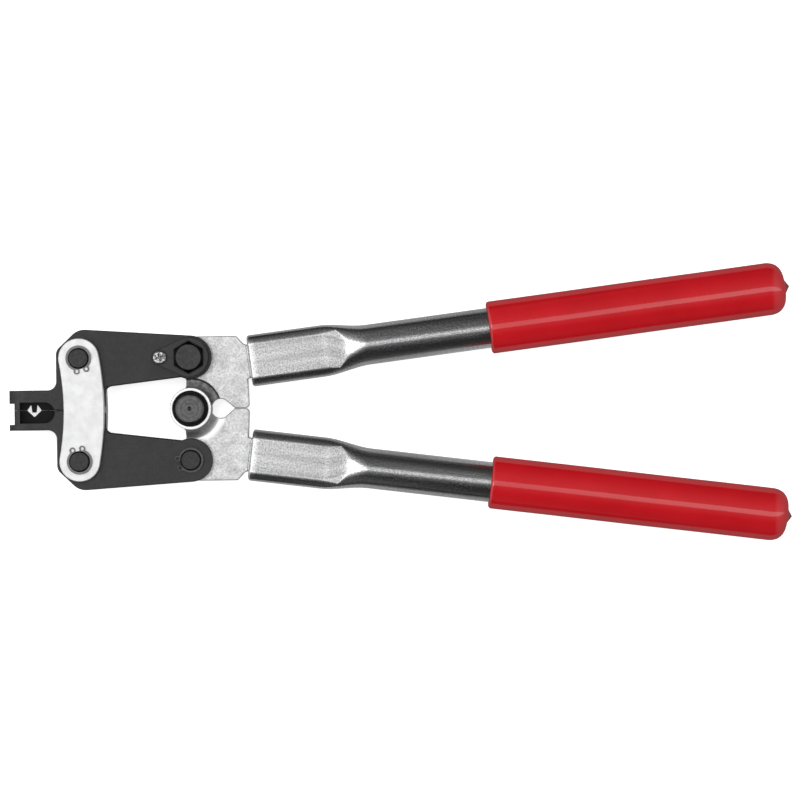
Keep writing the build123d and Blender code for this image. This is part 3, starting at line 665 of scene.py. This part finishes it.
def build_grip(side):
    """A dipped vinyl grip: one closed skin with a rolled mouth and a hardened drip."""
    name = "dipped_grip_upper" if side > 0 else "dipped_grip_lower"
    mesh = bmesh.new()
    dripped = mesh.verts.layers.float.new("drip")
    rings = []
    for along, radius in grip_profile():
        ring = []
        for step in range(GRIP_AROUND):
            turn = 2 * pi * step / GRIP_AROUND
            skin = radius
            if radius > GRIP_RADIUS - 0.01:
                skin += RIPPLE * (sin(along / RIPPLE_LENGTH + 2 * cos(turn)) - 1)
            across, up = skin * cos(turn), skin * sin(turn)
            beside = ((across - DRIP_OFFSET) ** 2 + up ** 2) ** 0.5
            drip = drip_share(beside) if along > TUBE_END + 1 else 0
            vert = mesh.verts.new(handle_point(along + DRIP_HEIGHT * drip, across, up, side))
            vert[dripped] = drip
            ring.append(vert)
        rings.append(ring)
    for near, far in zip(rings, rings[1:]):
        for i in range(GRIP_AROUND):
            j = (i + 1) % GRIP_AROUND
            mesh.faces.new((near[i], near[j], far[j], far[i]))
    at_centre = drip_share(DRIP_OFFSET)
    for ring, along, drip in ((rings[0], TUBE_END, 0), (rings[-1], GRIP_END, at_centre)):
        pole = mesh.verts.new(handle_point(along + DRIP_HEIGHT * drip, 0, 0, side))
        pole[dripped] = drip
        for i in range(GRIP_AROUND):
            mesh.faces.new((ring[i], ring[(i + 1) % GRIP_AROUND], pole))
    for face in mesh.faces:
        face.smooth = True
    bmesh.ops.recalc_face_normals(mesh, faces=mesh.faces)
    return make_object(name, mesh)


vinyl = dipped_vinyl("dipped_vinyl")
for side, half in ((1, "upper"), (-1, "lower")):
    grip = build_grip(side)
    keep_creases(grip, GRIP_CREASE)
    grip.data.materials.append(vinyl)
    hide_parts(f"grip_{half}")
    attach(grip, f"handle_{half}")


# ---- floor, light and camera --------------------------------------------------------------
# Metres, watts and degrees. VIEW_WIDTH is what the camera sees of the tool's middle plane.
CAMERA_HEIGHT = 1.787
VIEW_WIDTH = 0.4608
VIEW_OFFSET = Vector((-0.0009, 0.0035, 0))
VIEW_TURN = -0.7
KEY_POWER = 14.0
KEY_SIZE = 1.1
KEY_PLACE = Vector((-0.35, 0.45, 1.9))
FLOOR_HALF = 6.0
FLOOR_GLOW = 0.66
STUDIO_RADIUS = 9.0
# Light in the studio dome, by degrees from straight up: across the tool, then along it, where
# less than 0 leans to the jaws. The walls at the two ends and the glow from below go by how far
# a direction points along X and Z, from -1 to 1. The room's soft light, SKY, goes by height.
LIGHT_ACROSS = (
    (-97, 0.09), (-64, 0.05), (-50, 0.03), (-38, 0.03), (-29, 0.12), (-16, 0.30), (-11.5, 0.36),
    (-9, 2.1), (9, 2.1), (11.5, 0.40), (17, 0.42), (29, 0.30), (41, 0.22), (53, 0.15), (67, 0.08),
    (85, 0.05), (97, 0.05),
)
LIGHT_ALONG = (
    (-80, 0.25), (-62, 0.40), (-54, 0.9), (-40, 1.7), (-28, 2.1), (-12, 1.4), (-4, 0.66), (2, 0.60),
    (9, 0.85), (30, 0.85), (80, 0.6),
)
LIGHT_AT_ENDS = (
    (-1.0, 1.2), (-0.75, 0.9), (-0.55, 0.40), (-0.28, 0), (0.28, 0), (0.55, 0.4), (1.0, 0.55),
)
LIGHT_BELOW = ((-1.0, 0.62), (-0.36, 0.60), (-0.20, 0.0))
SKY = ((-1.0, 0.15), (-0.05, 0.22), (0.3, 0.60), (1.0, 0.92))
DARK_WALLS = (0.022, 0.022, 0.024)

low, high = cad_box
centre = (low + high) / 2
tool_middle = Vector((centre.x, 0, 0))


def build_floor():
    """A pale glowing floor that the metal and the vinyl don't reflect."""
    mesh = bmesh.new()
    bmesh.ops.create_grid(mesh, x_segments=2, y_segments=2, size=FLOOR_HALF)
    floor = make_object("floor", mesh)
    floor.location = (centre.x, centre.y, low.z)
    s = Shader("pale_floor")
    s.set(Base_Color=(0.93, 0.93, 0.93, 1), Roughness=0.9, Specular_IOR_Level=0.1)
    s.set(Emission_Color=(1, 1, 1, 1), Emission_Strength=FLOOR_GLOW)
    floor.data.materials.append(s.material)
    floor.visible_glossy = False
    floor.visible_diffuse = False
    return floor


def by_degrees(stops):
    """Stops over an angle in degrees, moved to where turn_share puts them."""
    return [(degrees / 360 + 0.5, light) for degrees, light in stops]


def from_end_to_end(shader, value, stops):
    """A ramp over a value that runs from -1 to 1."""
    return shader.ramp(shader.math("MULTIPLY_ADD", value, 0.5, 0.5), signed_stops(stops))


def turn_share(shader, side, up):
    """The angle from straight up towards side, where 0 to 1 is a whole turn and 0.5 is up."""
    return shader.math("MULTIPLY_ADD", shader.math("ARCTAN2", side, up), 1 / (2 * pi), 0.5)


def build_studio():
    """A dome that only reflections see: a soft box overhead, dark walls and pale ends."""
    mesh = bmesh.new()
    bmesh.ops.create_uvsphere(mesh, u_segments=64, v_segments=32, radius=STUDIO_RADIUS)
    studio = make_object("studio", mesh)
    studio.location = tool_middle
    s = Shader("studio_light")
    tree = s.tree
    tree.nodes.remove(s.principled)
    glow = tree.nodes.new("ShaderNodeEmission")
    output = next(n for n in tree.nodes if n.type == "OUTPUT_MATERIAL")
    split = tree.nodes.new("ShaderNodeSeparateXYZ")
    unit = tree.nodes.new("ShaderNodeVectorMath")
    unit.operation = "NORMALIZE"
    s.link(s.coords, unit.inputs[0])
    s.link(unit.outputs[0], split.inputs[0])
    x, y, z = split.outputs
    strip = s.ramp(turn_share(s, y, z), by_degrees(LIGHT_ACROSS))
    along = s.ramp(turn_share(s, x, z), by_degrees(LIGHT_ALONG))
    light = s.mix("MULTIPLY", 1.0, strip, along)
    light = s.mix("ADD", 1.0, light, from_end_to_end(s, x, LIGHT_AT_ENDS))
    light = s.mix("LIGHTEN", 1.0, light, from_end_to_end(s, z, LIGHT_BELOW))
    light = s.mix("ADD", 1.0, light, DARK_WALLS)
    s.link(light, glow.inputs["Color"])
    s.link(glow.outputs[0], output.inputs["Surface"])
    s.material.cycles.emission_sampling = "NONE"
    studio.data.materials.append(s.material)
    studio.visible_camera = False
    studio.visible_diffuse = False
    studio.visible_shadow = False
    studio.visible_transmission = False
    return studio


def build_lights():
    """A soft room that lights by height, and one large key lamp over the upper handle's side."""
    scene = bpy.context.scene
    world = bpy.data.worlds.new("soft_room")
    world.use_nodes = True
    tree = world.node_tree
    background = tree.nodes["Background"]
    direction = tree.nodes.new("ShaderNodeTexCoord").outputs["Generated"]
    height = tree.nodes.new("ShaderNodeSeparateXYZ")
    tree.links.new(direction, height.inputs[0])
    share = tree.nodes.new("ShaderNodeMapRange")
    share.inputs["From Min"].default_value = -1
    tree.links.new(height.outputs["Z"], share.inputs["Value"])
    sky = tree.nodes.new("ShaderNodeValToRGB")
    fill_ramp(sky.color_ramp, signed_stops(SKY))
    tree.links.new(share.outputs["Result"], sky.inputs["Fac"])
    tree.links.new(sky.outputs["Color"], background.inputs["Color"])
    world.cycles_visibility.glossy = False
    scene.world = world
    data = bpy.data.lights.new("key", "AREA")
    data.shape = "DISK"
    data.size = KEY_SIZE
    data.energy = KEY_POWER
    key = bpy.data.objects.new("key", data)
    key.location = tool_middle + KEY_PLACE
    key.rotation_mode = "QUATERNION"
    key.rotation_quaternion = (-KEY_PLACE).to_track_quat("-Z", "Y")
    key.visible_glossy = False
    scene.collection.objects.link(key)


def build_camera():
    data = bpy.data.cameras.new("camera")
    data.sensor_width = 36
    data.lens = data.sensor_width * CAMERA_HEIGHT / VIEW_WIDTH
    data.clip_start = 0.01
    camera = bpy.data.objects.new("camera", data)
    camera.location = tool_middle + VIEW_OFFSET + Vector((0, 0, CAMERA_HEIGHT))
    camera.rotation_euler = (0, 0, radians(VIEW_TURN))
    bpy.context.scene.collection.objects.link(camera)
    bpy.context.scene.camera = camera


build_camera()
build_lights()
build_floor()
build_studio()
bpy.context.scene.view_settings.view_transform = "Standard"
